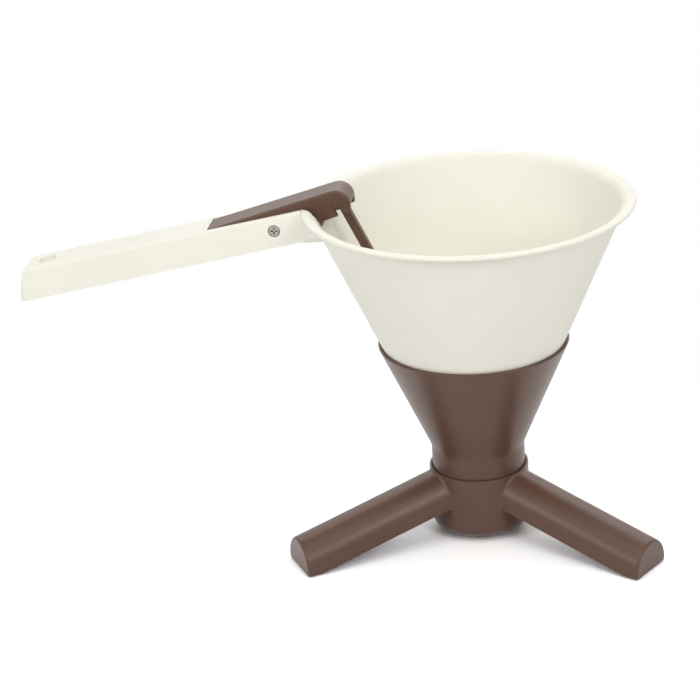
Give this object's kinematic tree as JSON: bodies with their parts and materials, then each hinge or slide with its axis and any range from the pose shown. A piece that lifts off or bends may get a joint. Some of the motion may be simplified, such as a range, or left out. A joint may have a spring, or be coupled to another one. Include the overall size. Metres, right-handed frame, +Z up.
{
  "type": "confectionery funnel",
  "caption": "Conical confectionery funnel with a hollow handle, a thumb lever that lifts a stopper rod from the outlet, a bayonet nozzle and a tripod stand.",
  "frame": {"origin": "on the table, level with the feet, under the funnel's axis", "axes": "+Z up along the funnel's axis, -X along the handle, one leg along +Y"},
  "size_m": [0.3157, 0.1789, 0.1807],
  "materials": {
    "cream_plastic": "satin moulded cream",
    "brown_plastic": "satin moulded brown",
    "steel": "plain stainless",
    "silicone": "matt food silicone"
  },
  "bodies": {
    "stand": {"tripod_stand": "brown_plastic"},
    "nozzle": {"nozzle_cone": "brown_plastic", "seal_ring": "silicone"},
    "funnel": {"funnel_bowl": "cream_plastic", "funnel_handle": "cream_plastic", "pivot_screw": "steel", "pivot_barrel_nut": "steel", "return_spring": "steel"},
    "lever": {"lever": "brown_plastic"},
    "stopper": {"stopper_rod": "brown_plastic", "stopper_plug": "silicone"}
  },
  "joints": [
    {"name": "funnel_lift", "type": "slide", "parent": "stand", "child": "nozzle", "axis": [0, 0, 1], "range_m": [0, 0.06]},
    {"name": "nozzle_twist", "type": "hinge", "parent": "nozzle", "child": "funnel", "pos_m": [0, 0, 0.0644], "axis": [0, 0, 1], "range_deg": [0, 30]},
    {"name": "lever_press", "type": "hinge", "parent": "funnel", "child": "lever", "pos_m": [-0.09289, 0, 0.16163], "axis": [0, -1, 0], "range_deg": [0, 14], "stiffness_Nm_per_rad": 0.3, "springref_deg": -17.19, "deforming": ["return_spring"]},
    {"name": "rod_swing", "type": "hinge", "parent": "lever", "child": "stopper", "pos_m": [-0.06249, 0, 0.17364], "axis": [0, -1, 0], "range_deg": [-14, 0]}
  ],
  "couplings": [
    {"joint": "rod_swing", "follows": "lever_press", "ratio": -1}
  ]
}
